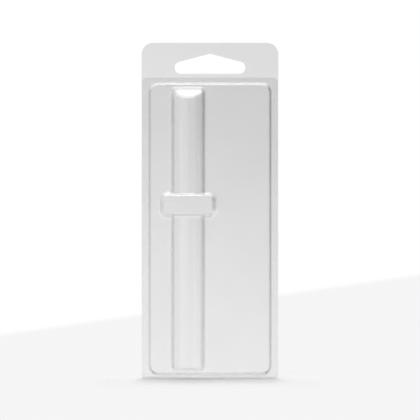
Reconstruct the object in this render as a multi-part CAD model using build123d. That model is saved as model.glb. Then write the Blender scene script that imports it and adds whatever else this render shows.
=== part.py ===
"""Clamshell blister pack: one clear formed sheet, folded at its foot, with a tube and collar cavity.

X is to the right, Y to the back and Z up. The origin is where the peg bears in the hang hole.
Heights are measured from the fold at the foot, and depths from the parting plane to the front.
"""

import os
from math import cos, radians, sin, tan

from build123d import *

# Sheet and fold
sheet = 0.4
hinge_sheet = 0.3
rim_gap = 0.2

# Front outline
pack_width = 60.0
pack_height = 147.1
top_corner = 5.0
header_height = 17.25
side_rim = 3.0
foot_rim = 1.1

# Hang hole, a flat-bottomed slot that rises to a peak
hole_width = 31.1
hole_height = 8.8
hole_top_margin = 4.8
hole_end_radius = 2.7
hole_peak_radius = 1.5

# Raised panel
panel_height = 3.0
panel_corner = 4.2
side_lean_degrees = 10
end_lean_degrees = 22

# Tube
tube_width = 14.3
tube_height = 8.8
tube_bottom_margin = 1.45
tube_top_margin = 1.1
tube_bottom_round = 1.8
tube_top_round = 2.0
tube_bottom_lean_degrees = 2
tube_top_lean_degrees = 28

# Collar across the tube
collar_width = 24.0
collar_length = 10.5
collar_step = 3.2
collar_middle = 76.0
collar_side_margin = 5.4
collar_corner = 3.4
collar_lean_degrees = 5
collar_rim_radius = 0.8

# Blends of the tube with the collar, and of both with the panel
junction_radius = 1.2
foot_radius = 1.3

# Back half
back_inset = 0.2
back_rim = 2.05
back_corner = 2.0
plug_height = 1.6
plug_clearance = 0.25

# How far a cutting solid runs past what it cuts
overrun = 2.0

# Sizes that follow from the others
front_inner = rim_gap / 2
front_outer = front_inner + sheet
fold_radius = front_outer
back_outer = -front_outer
back_inner = -front_inner
panel_width = pack_width - 2 * side_rim
panel_bottom = foot_rim
panel_top = pack_height - header_height
hole_peak = pack_height - hole_top_margin
hole_bottom = hole_peak - hole_height
panel_end_run = panel_height * tan(radians(end_lean_degrees))
tube_bottom = panel_bottom + panel_end_run + tube_bottom_margin
tube_top = panel_top - panel_end_run - tube_top_margin
tube_center = collar_side_margin + collar_width / 2 - panel_width / 2
collar_height = tube_height + collar_step
back_width = pack_width - 2 * back_inset
back_top = panel_top + back_rim


def across(depth):
    """The plane across the pack at a depth, seen from the front."""
    return Plane.XZ.offset(depth)


def wall_inset(lean):
    """How far the back of a leaning wall lies inside its front, both taken at the foot of the wall."""
    return sheet * (1 - sin(radians(lean))) / cos(radians(lean))


def leaning_profile(level, height, low, high, low_lean, high_lean):
    """A profile with two leaning sides and a root one sheet deep; low and high hold at the level."""
    root = level - sheet
    crest = level + height
    low_run = tan(radians(low_lean))
    high_run = tan(radians(high_lean))
    corners = [
        (low - sheet * low_run, -root),
        (high + sheet * high_run, -root),
        (high - height * high_run, -crest),
        (low + height * low_run, -crest),
    ]
    return corners


def upright_prism(corners, bottom, top):
    """Extrudes a profile of (x, y) corners up the pack."""
    return extrude(Pos(0, 0, bottom) * make_face(Polyline(*corners, close=True)), top - bottom)


def level_prism(corners, width, center):
    """Extrudes a profile of (z, y) corners across the pack."""
    turned = [(y, z) for z, y in corners]
    profile = Plane.YZ.offset(center) * make_face(Polyline(*turned, close=True))
    return extrude(profile, width / 2, both=True)


def panel_block(level, height, width, bottom, top, corner, behind):
    """A block with leaning walls and rounded corners; behind is 1 for the back surface of the sheet."""
    side = width / 2 - behind * wall_inset(side_lean_degrees)
    end = behind * wall_inset(end_lean_degrees)
    sides = leaning_profile(level, height, -side, side, side_lean_degrees, side_lean_degrees)
    ends = leaning_profile(level, height, bottom + end, top - end, end_lean_degrees, end_lean_degrees)
    block = upright_prism(sides, bottom - overrun, top + overrun) & level_prism(ends, width + overrun, 0)
    return fillet(block.edges().group_by(Axis.Y)[1], corner - behind * sheet)


def raised_panel(slab, level, behind):
    """The panel on its slab; its rim is sharp behind the sheet and one sheet in radius in front."""
    block = panel_block(level, panel_height, panel_width, panel_bottom, panel_top, panel_corner, behind)
    panel = slab + block
    if behind:
        return panel
    rim = panel.faces().sort_by(Axis.Y)[0].edges()
    return fillet(rim, sheet)


def tube_block(level, behind):
    """The tube: short upright walls under a round arch, with two leaning ends."""
    radius = tube_width / 2 - behind * sheet
    spring = level + tube_height - radius
    walls = Pos(tube_center, -(level - sheet + spring) / 2) * Rectangle(2 * radius, spring - level + sheet)
    section = walls + Pos(tube_center, -spring) * Circle(radius)
    prism = extrude(Pos(0, 0, tube_bottom - overrun) * section, tube_top - tube_bottom + 2 * overrun)
    bottom = tube_bottom + behind * wall_inset(tube_bottom_lean_degrees)
    top = tube_top - behind * wall_inset(tube_top_lean_degrees)
    leans = (tube_bottom_lean_degrees, tube_top_lean_degrees)
    ends = leaning_profile(level, tube_height + sheet, bottom, top, *leans)
    tube = prism & level_prism(ends, tube_width + overrun, tube_center)
    low_rim = tube.faces().sort_by(Axis.Z)[0].edges().sort_by(Axis.Y)[:-1]
    tube = fillet(low_rim, tube_bottom_round - behind * sheet)
    high_rim = tube.faces().sort_by(Axis.Z)[-1].edges().sort_by(Axis.Y)[:-1]
    return fillet(high_rim, tube_top_round - behind * sheet)


def collar_block(level, behind):
    """The collar, a leaning block with rounded corners; its rim is sharp behind the sheet."""
    out = sheet * tan(radians(collar_lean_degrees)) - behind * wall_inset(collar_lean_degrees)
    outline = RectangleRounded(collar_width + 2 * out, collar_length + 2 * out, collar_corner + out)
    root = across(level - sheet) * Pos(tube_center, collar_middle) * outline
    block = extrude(root, collar_height + sheet, taper=collar_lean_degrees)
    if behind:
        return block
    rim = block.faces().sort_by(Axis.Y)[0].edges()
    return fillet(rim, collar_rim_radius)


def cavity_block(level, behind):
    """The tube and the collar, blended where they meet."""
    tube = tube_block(level, behind)
    collar = collar_block(level, behind)
    cavity = tube + collar
    return fillet(new_edges(tube, collar, combined=cavity), junction_radius + behind * sheet)


def front_form(slab, level, behind):
    """The front or back surface of the front half as a solid: slab, panel, tube and collar."""
    panel = raised_panel(slab, level, behind)
    cavity = cavity_block(level + panel_height, behind)
    form = panel + cavity
    return fillet(new_edges(panel, cavity, combined=form), foot_radius + behind * sheet)


def rim_plate(depth, width, top, corner):
    """A flat rim from the fold up, one sheet thick, with rounded top corners."""
    outline = Pos(0, (fold_radius + top) / 2) * Rectangle(width, top - fold_radius)
    outline = fillet(outline.vertices().sort_by(Axis.Y)[-2:], corner)
    return extrude(across(depth) * outline, sheet)


def space_behind(depth):
    """Everything behind a depth, wider than the pack."""
    outline = Pos(0, pack_height / 2) * Rectangle(pack_width + 2 * overrun, pack_height + 2 * overrun)
    return extrude(across(depth - overrun) * outline, overrun)


def hang_hole():
    """The slot for the peg, as long as it takes to cut the header."""
    end_x = hole_width / 2 - hole_end_radius
    end_z = hole_bottom + hole_end_radius
    rounds = Pos(-end_x, end_z) * Circle(hole_end_radius)
    rounds += Pos(end_x, end_z) * Circle(hole_end_radius)
    rounds += Pos(0, hole_peak - hole_peak_radius) * Circle(hole_peak_radius)
    slot = make_hull(rounds.edges())
    return extrude(across(front_inner - overrun) * slot, sheet + 2 * overrun)


def front_shell():
    """The front half: header, hang hole, raised panel, tube and collar."""
    plate = rim_plate(front_inner, pack_width, pack_height, top_corner)
    front_side = front_form(plate, front_outer, 0)
    back_side = front_form(space_behind(front_inner), front_inner, 1)
    return front_side - back_side - hang_hole()


def plug_form(slab, level, behind):
    """The plug of the back half, which follows the back of the front panel at its clearance."""
    side = wall_inset(side_lean_degrees) - rim_gap * tan(radians(side_lean_degrees))
    side += plug_clearance / cos(radians(side_lean_degrees))
    end = wall_inset(end_lean_degrees) - rim_gap * tan(radians(end_lean_degrees))
    end += plug_clearance / cos(radians(end_lean_degrees))
    block = panel_block(
        level,
        plug_height + front_inner,
        panel_width - 2 * side,
        panel_bottom + end,
        panel_top - end,
        panel_corner - sheet - plug_clearance,
        behind,
    )
    return slab + block


def back_shell():
    """The back half: a flat rim and the shallow plug that nests in the front panel."""
    plate = rim_plate(back_outer, back_width, back_top, back_corner)
    front_side = plug_form(plate, back_inner, 0)
    back_side = plug_form(space_behind(back_outer), back_outer, 1)
    return front_side - back_side


def living_hinge():
    """The thin web bent around the fold from one rim to the other."""
    ring = Circle(fold_radius) - Circle(fold_radius - hinge_sheet)
    lower = Pos(0, -fold_radius) * Rectangle(2 * fold_radius, 2 * fold_radius)
    section = Plane.YZ * Pos(0, fold_radius) * (ring & lower)
    return extrude(section, back_width / 2, both=True)


# Every piece is moved so that the peg bears at the origin
to_peg = Pos(0, 0, -hole_peak)
pieces = {
    "front_shell": front_shell(),
    "back_shell": back_shell(),
    "living_hinge": living_hinge(),
}
os.makedirs("parts", exist_ok=True)
for name, piece in pieces.items():
    export_step(to_peg * piece, f"parts/{name}.step")
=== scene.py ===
"""Looks of the clamshell blister pack: clear formed sheet, standing on a pale floor in soft studio light."""

import math

import bpy
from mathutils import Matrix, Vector


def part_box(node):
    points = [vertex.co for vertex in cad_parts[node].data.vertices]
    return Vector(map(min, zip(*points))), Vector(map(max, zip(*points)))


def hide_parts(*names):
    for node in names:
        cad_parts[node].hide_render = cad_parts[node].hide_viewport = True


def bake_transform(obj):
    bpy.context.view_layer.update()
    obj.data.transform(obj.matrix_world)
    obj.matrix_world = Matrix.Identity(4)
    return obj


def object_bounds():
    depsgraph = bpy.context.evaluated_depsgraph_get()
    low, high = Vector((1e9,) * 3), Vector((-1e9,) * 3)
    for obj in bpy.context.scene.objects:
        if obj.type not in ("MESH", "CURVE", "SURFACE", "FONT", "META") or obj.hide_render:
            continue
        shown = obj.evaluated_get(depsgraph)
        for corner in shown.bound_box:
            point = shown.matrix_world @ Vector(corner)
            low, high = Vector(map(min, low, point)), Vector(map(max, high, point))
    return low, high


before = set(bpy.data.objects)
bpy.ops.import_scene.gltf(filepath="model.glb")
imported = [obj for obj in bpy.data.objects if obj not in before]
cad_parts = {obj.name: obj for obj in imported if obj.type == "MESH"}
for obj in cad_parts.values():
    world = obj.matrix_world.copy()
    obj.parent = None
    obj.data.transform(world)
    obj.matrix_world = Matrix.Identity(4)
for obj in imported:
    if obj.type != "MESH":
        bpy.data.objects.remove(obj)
cad_low, cad_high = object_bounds()
middle = (cad_low + cad_high) / 2

scene = bpy.context.scene
scene.view_settings.view_transform = "Standard"

# Frame of the photograph
FRAME_PX = 420
PX_PER_M = 2277.5
CAMERA_DISTANCE = 1.1
CAMERA_RISE = 0.0002
SENSOR = 36.0
CLIP_START = 0.01

# Light
AMBIENT = 0.72
LAMP_PLACE = Vector((0.0, 1.5, 10.0))
LAMP_SIZE = (0.75, 3.0)
LAMP_WATTS = 310.0

# Sheet: clear share, haze share and noise offset of each piece
FRONT_SHEET = (0.935, 0.03, 0.0)
BACK_SHEET = (0.995, 0.02, 0.4)
FOLD_SHEET = (0.9, 0.12, 0.8)

# Sheet: share of the light let through, from face-on (0) to edge-on (1)
SHEET_STOPS = [
    (0.0, 1.0), (0.09, 0.995), (0.14, 0.96), (0.3, 0.935),
    (0.42, 0.925), (0.55, 0.9), (0.7, 0.86), (1.0, 0.8),
]
# Painted shade: the see-through body is tinted darker towards the top, from its share at the top to its share
# at the foot
TOP_PAINTED_SHADE = 0.955
FOOT_PAINTED_SHADE = 1.0

# Sheet: noise, and what its span is mapped to
NOISE_SPAN = (0.3, 0.7)
CLOUD_SCALE = 38.0
CLOUD_SHARE = (0.99, 1.0)
GRAIN_SCALE = 900.0
HAZE_GRAIN = (0.8, 1.2)
ROUGHNESS = (0.05, 0.09)
RIPPLE_SCALE = 45.0
RIPPLE_STRENGTH = 0.02
RIPPLE_DISTANCE = 0.0004
HAZE_COLOUR = (0.82, 0.83, 0.83, 1.0)
GLOSS_FACE_ON = 0.049
GLOSS_POWER = 5.0

# Fold
FOLD_THICKNESS_SHARE = 0.6
FOLD_STEPS_ALONG = 90
FOLD_STEPS_AROUND = 12

# Floor
FLOOR_COLOUR = 0.92
FLOOR_MOTTLE = 0.003
FLOOR_NOISE_SCALE = 12.0
FLOOR_SIDE = 0.048
FLOOR_FRONT = 0.065
FLOOR_BEHIND = 0.03

# Background: the line between white and pale, its blur, and the blur seen through the sheet
LINE_DOWN = (0.1432, -0.0379, -1.0)
LINE_BLUR = 0.0023
HAZE_BLUR = 0.11
FLOOR_SHOWN = 0.915

# Mirrored studio: walls by side from left (0) to right (1), brightness by rise from down (0) to up (1)
WALLS = [
    (0.0, 1.35), (0.08, 1.35), (0.2, 1.1), (0.3, 0.6), (0.345, 0.66), (0.4, 1.0),
    (0.44, 1.0), (0.56, 0.95), (0.63, 0.35), (0.72, 0.2), (0.85, 0.05), (1.0, 0.05),
]
UP = [(0.5, 1.0), (0.52, 1.05), (0.58, 1.7), (0.7, 2.6), (0.85, 3.5), (0.92, 4.2), (1.0, 4.2)]
CEILING = [(0.15, 0.3), (0.23, 0.9), (0.4, 1.0), (0.67, 1.0), (0.74, 0.5), (0.82, 0.2)]
TABLE = [(0.0, 1.5), (0.08, 1.7), (0.2, 1.65), (0.3, 1.25), (0.4, 1.1), (0.47, 1.1)]
TABLE_SIDES = [
    (0.0, 2.0), (0.15, 1.7), (0.3, 0.7), (0.345, 0.7), (0.4, 1.0),
    (0.61, 1.0), (0.66, 0.45), (0.72, 0.6), (0.85, 1.9), (1.0, 2.2),
]
FRONT_ROOM = [(0.0, 1.6), (0.16, 1.33), (0.28, 1.17), (0.5, 0.77), (0.61, 0.57), (1.0, 0.2)]

# Mirrored studio: direction at which one part changes into the next
TO_CEILING = (0.2, 0.45)
TO_TABLE = (0.04, -0.06)
TO_FRONT_ROOM = (-0.5, -0.9)
FRONT_ROOM_RISE = (-0.08, 0.08)

# Mirrored studio: how much lighter the room in front is to the left, from a span of X, less below the horizon
NEAR_SIDE = (-0.03, 0.03, 0.18, -0.18)
WIDE_SIDE = (-0.5, 0.5, 0.2, -0.2)
SIDE_SHARE = (-0.05, 0.0, 0.35, 1.0)


# Node helpers

def add(tree, kind, sockets=None, **settings):
    """Adds a node, sets its properties, and sets or links its inputs."""
    made = tree.nodes.new(kind)
    for key, value in settings.items():
        setattr(made, key, value)
    for key, value in (sockets or {}).items():
        if isinstance(value, bpy.types.NodeSocket):
            tree.links.new(value, made.inputs[key])
        else:
            made.inputs[key].default_value = value
    return made


def grey(value):
    return (value, value, value, 1.0)


def ramp(tree, factor, stops):
    """A colour ramp of grey values."""
    made = add(tree, "ShaderNodeValToRGB", {"Fac": factor})
    elements = made.color_ramp.elements
    while len(elements) < len(stops):
        elements.new(0.5)
    for element, (place, value) in zip(elements, stops):
        element.position = place
        element.color = grey(value)
    return made.outputs["Color"]


def noise(tree, place, scale, detail):
    """A noise value."""
    sockets = {"Vector": place, "Scale": scale, "Detail": detail}
    return add(tree, "ShaderNodeTexNoise", sockets).outputs["Fac"]


def maths(tree, operation, a, b, c=None):
    """A maths node on two or three values."""
    inputs = {i: v for i, v in enumerate((a, b, c)) if v is not None}
    return add(tree, "ShaderNodeMath", inputs, operation=operation).outputs[0]


def vector_maths(tree, operation, a, b):
    """A vector maths node on two vectors or colours."""
    made = add(tree, "ShaderNodeVectorMath", {0: a, 1: b}, operation=operation)
    return made.outputs["Value" if operation == "DOT_PRODUCT" else "Vector"]


def span(tree, value, low, high, to_low, to_high, kind="LINEAR"):
    """Maps a value's span onto another one."""
    sockets = {"Value": value, "From Min": low, "From Max": high, "To Min": to_low, "To Max": to_high}
    return add(tree, "ShaderNodeMapRange", sockets, interpolation_type=kind).outputs["Result"]


def mix_colour(tree, factor, a, b):
    """A mix of two colours."""
    return add(tree, "ShaderNodeMix", {0: factor, 6: a, 7: b}, data_type="RGBA").outputs[2]


def mix_shader(tree, factor, a, b):
    """A mix of two shaders."""
    return add(tree, "ShaderNodeMixShader", {0: factor, 1: a, 2: b}).outputs[0]


def new_material(name):
    """An empty material and its node tree."""
    material = bpy.data.materials.new(name)
    material.use_nodes = True
    material.node_tree.nodes.clear()
    return material, material.node_tree


# Clear sheet

def sheet_material(name, clear, haze, offset):
    """Clear polyester sheet: tinted see-through body, darker seen edge-on and, as painted shade, darker
    towards the top, with gloss and a little haze.
    """
    material, tree = new_material(name)
    place = add(tree, "ShaderNodeTexCoord").outputs["Object"]
    facing = add(tree, "ShaderNodeLayerWeight", {"Blend": 0.5}).outputs["Facing"]
    shift = add(tree, "ShaderNodeMapping", {"Vector": place, "Location": (offset, 0.0, 0.0)}).outputs["Vector"]
    grain = noise(tree, shift, GRAIN_SCALE, 3.0)
    # Body, with faint clouds, and painted shade that makes it a little darker towards the top
    body = ramp(tree, facing, [(at, clear * share) for at, share in SHEET_STOPS])
    cloud = span(tree, noise(tree, shift, CLOUD_SCALE, 2.0), *NOISE_SPAN, *CLOUD_SHARE)
    height = add(tree, "ShaderNodeSeparateXYZ", {0: place}).outputs["Z"]
    # Painted shade: the tint grows darker with height
    painted_shade = span(tree, height, cad_high[2], cad_low[2], TOP_PAINTED_SHADE, FOOT_PAINTED_SHADE)
    tint = vector_maths(tree, "MULTIPLY", body, maths(tree, "MULTIPLY", cloud, painted_shade))
    through = add(tree, "ShaderNodeBsdfTransparent", {"Color": tint}).outputs[0]
    # Haze and gloss over a slight ripple
    ripple = noise(tree, shift, RIPPLE_SCALE, 1.0)
    relief = {"Height": ripple, "Strength": RIPPLE_STRENGTH, "Distance": RIPPLE_DISTANCE}
    bump = add(tree, "ShaderNodeBump", relief).outputs[0]
    cloudy = add(tree, "ShaderNodeBsdfDiffuse", {"Color": HAZE_COLOUR, "Normal": bump}).outputs[0]
    veil = span(tree, grain, *NOISE_SPAN, HAZE_GRAIN[0] * haze, HAZE_GRAIN[1] * haze)
    inner = mix_shader(tree, veil, through, cloudy)
    rough = span(tree, grain, *NOISE_SPAN, *ROUGHNESS)
    gloss = add(tree, "ShaderNodeBsdfAnisotropic", {"Color": grey(1.0), "Roughness": rough, "Normal": bump})
    edge_on = maths(tree, "POWER", facing, GLOSS_POWER)
    shine = maths(tree, "MULTIPLY_ADD", edge_on, 1.0 - GLOSS_FACE_ON, GLOSS_FACE_ON)
    surface = mix_shader(tree, shine, inner, gloss.outputs[0])
    add(tree, "ShaderNodeOutputMaterial", {"Surface": surface})
    return material


front_sheet = sheet_material("clear_front_sheet", *FRONT_SHEET)
back_sheet = sheet_material("clear_back_sheet", *BACK_SHEET)
fold_sheet = sheet_material("clear_fold_sheet", *FOLD_SHEET)

for node_name, material in (("front_shell", front_sheet), ("back_shell", back_sheet)):
    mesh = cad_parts[node_name].data
    mesh.materials.clear()
    mesh.materials.append(material)


# Fold at the foot

fold_low, fold_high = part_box("living_hinge")
fold_radius = (fold_high[1] - fold_low[1]) / 2
fold_thickness = FOLD_THICKNESS_SHARE * fold_radius
fold_z = fold_high[2]
fold_y = (fold_low[1] + fold_high[1]) / 2


def fold_mesh(along, around):
    """The thin web bent around the fold, a closed half ring from one rim to the other."""
    rings = []
    verts = []
    faces = []
    outer = [(fold_radius, j) for j in range(around + 1)]
    inner = [(fold_radius - fold_thickness, j) for j in range(around, -1, -1)]
    for i in range(along + 1):
        x = fold_low[0] + (fold_high[0] - fold_low[0]) * i / along
        ring = []
        for radius, j in outer + inner:
            angle = math.pi * j / around
            ring.append(len(verts))
            verts.append((x, fold_y - radius * math.cos(angle), fold_z - radius * math.sin(angle)))
        rings.append(ring)
    for a, b in zip(rings, rings[1:]):
        for j in range(len(a)):
            k = (j + 1) % len(a)
            faces.append((a[j], a[k], b[k], b[j]))
    faces.append(tuple(reversed(rings[0])))
    faces.append(tuple(rings[-1]))
    mesh = bpy.data.meshes.new("fold_web")
    mesh.from_pydata(verts, [], faces)
    mesh.update()
    return mesh


fold = bpy.data.objects.new("fold_web", fold_mesh(FOLD_STEPS_ALONG, FOLD_STEPS_AROUND))
scene.collection.objects.link(fold)
fold.data.materials.append(fold_sheet)
for face in fold.data.polygons:
    face.use_smooth = len(face.vertices) == 4
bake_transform(fold)
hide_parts("living_hinge")


# Floor, a pale patch around the foot that keeps the shadow and meets the pale lower background

def floor_material():
    """Pale paper, clear from below."""
    material, tree = new_material("pale_floor")
    place = add(tree, "ShaderNodeTexCoord").outputs["Object"]
    paper = noise(tree, place, FLOOR_NOISE_SCALE, 2.0)
    low, high = NOISE_SPAN
    tone = ramp(tree, paper, [(low, FLOOR_COLOUR - FLOOR_MOTTLE), (high, FLOOR_COLOUR + FLOOR_MOTTLE)])
    pale = add(tree, "ShaderNodeBsdfDiffuse", {"Color": tone}).outputs[0]
    clear = add(tree, "ShaderNodeBsdfTransparent").outputs[0]
    below = add(tree, "ShaderNodeNewGeometry").outputs["Backfacing"]
    add(tree, "ShaderNodeOutputMaterial", {"Surface": mix_shader(tree, below, pale, clear)})
    return material


floor_mesh = bpy.data.meshes.new("floor")
corners = [
    (-FLOOR_SIDE, -FLOOR_FRONT), (FLOOR_SIDE, -FLOOR_FRONT),
    (FLOOR_SIDE, FLOOR_BEHIND), (-FLOOR_SIDE, FLOOR_BEHIND),
]
floor_mesh.from_pydata([(x, y, cad_low[2]) for x, y in corners], [], [(0, 1, 2, 3)])
floor_mesh.update()
floor_mesh.materials.append(floor_material())
floor = bpy.data.objects.new("floor", floor_mesh)
scene.collection.objects.link(floor)
floor.visible_glossy = False


# Studio light

def studio_room(tree, parts):
    """The soft studio by direction, as gloss mirrors it."""
    side = span(tree, parts["X"], -1.0, 1.0, 0.0, 1.0)
    rise = span(tree, parts["Z"], -1.0, 1.0, 0.0, 1.0)
    # Walls, bright to the left and dark to the right, under a ceiling that is brightest over the middle
    high = span(tree, parts["Z"], *TO_CEILING, 0.0, 1.0)
    lights = mix_colour(tree, high, ramp(tree, side, WALLS), ramp(tree, side, CEILING))
    above = vector_maths(tree, "MULTIPLY", lights, ramp(tree, rise, UP))
    # The lit table below the horizon
    table = vector_maths(tree, "MULTIPLY", ramp(tree, rise, TABLE), ramp(tree, side, TABLE_SIDES))
    below = span(tree, parts["Z"], *TO_TABLE, 0.0, 1.0)
    room = mix_colour(tree, below, above, table)
    # The room in front of the pack: pale low down, dark above, a little lighter to the left
    front_rise = span(tree, parts["Z"], *FRONT_ROOM_RISE, 0.0, 1.0)
    to_left = maths(tree, "ADD", span(tree, parts["X"], *NEAR_SIDE), span(tree, parts["X"], *WIDE_SIDE))
    front_side = maths(tree, "MULTIPLY", to_left, span(tree, parts["Z"], *SIDE_SHARE))
    front_room = vector_maths(tree, "ADD", ramp(tree, front_rise, FRONT_ROOM), front_side)
    is_front = span(tree, parts["Y"], *TO_FRONT_ROOM, 0.0, 1.0)
    return mix_colour(tree, is_front, room, front_room)


def studio_world():
    """White and pale to the camera, a soft studio to gloss, and an even glow to all else."""
    world = bpy.data.worlds.new("studio")
    world.use_nodes = True
    tree = world.node_tree
    tree.nodes.clear()
    direction = add(tree, "ShaderNodeTexCoord").outputs["Generated"]
    parts = add(tree, "ShaderNodeSeparateXYZ", {0: direction}).outputs
    path = add(tree, "ShaderNodeLightPath").outputs
    seen = maths(tree, "MAXIMUM", path["Is Camera Ray"], path["Is Transmission Ray"])
    mirrored = mix_colour(tree, path["Is Glossy Ray"], grey(AMBIENT), studio_room(tree, parts))
    # The background: white above an askew line and pale below it, blurred by the haze of the sheet
    under = vector_maths(tree, "DOT_PRODUCT", direction, LINE_DOWN)
    blur = span(tree, path["Transparent Depth"], 1.0, 2.0, LINE_BLUR / 2, HAZE_BLUR / 2)
    pale = span(tree, under, maths(tree, "MULTIPLY", blur, -1.0), blur, 0.0, 1.0, "SMOOTHSTEP")
    background = mix_colour(tree, pale, grey(1.0), grey(FLOOR_SHOWN))
    shown = mix_colour(tree, seen, mirrored, background)
    glow = add(tree, "ShaderNodeBackground", {"Color": shown, "Strength": 1.0}).outputs[0]
    add(tree, "ShaderNodeOutputWorld", {"Surface": glow})
    return world


scene.world = studio_world()

softbox = bpy.data.lights.new("overhead", "AREA")
softbox.shape = "RECTANGLE"
softbox.size, softbox.size_y = LAMP_SIZE
softbox.energy = LAMP_WATTS
overhead = bpy.data.objects.new("overhead", softbox)
scene.collection.objects.link(overhead)
overhead.location = LAMP_PLACE
overhead.rotation_euler = (-LAMP_PLACE).to_track_quat("-Z", "Y").to_euler()
overhead.visible_glossy = False


# Camera

camera = bpy.data.objects.new("camera", bpy.data.cameras.new("camera"))
scene.collection.objects.link(camera)
camera.location = (0.0, -CAMERA_DISTANCE, middle[2] + CAMERA_RISE)
camera.rotation_euler = (math.radians(90), 0, 0)
camera.data.sensor_width = SENSOR
camera.data.lens = SENSOR * CAMERA_DISTANCE * PX_PER_M / FRAME_PX
camera.data.clip_start = CLIP_START
scene.camera = camera
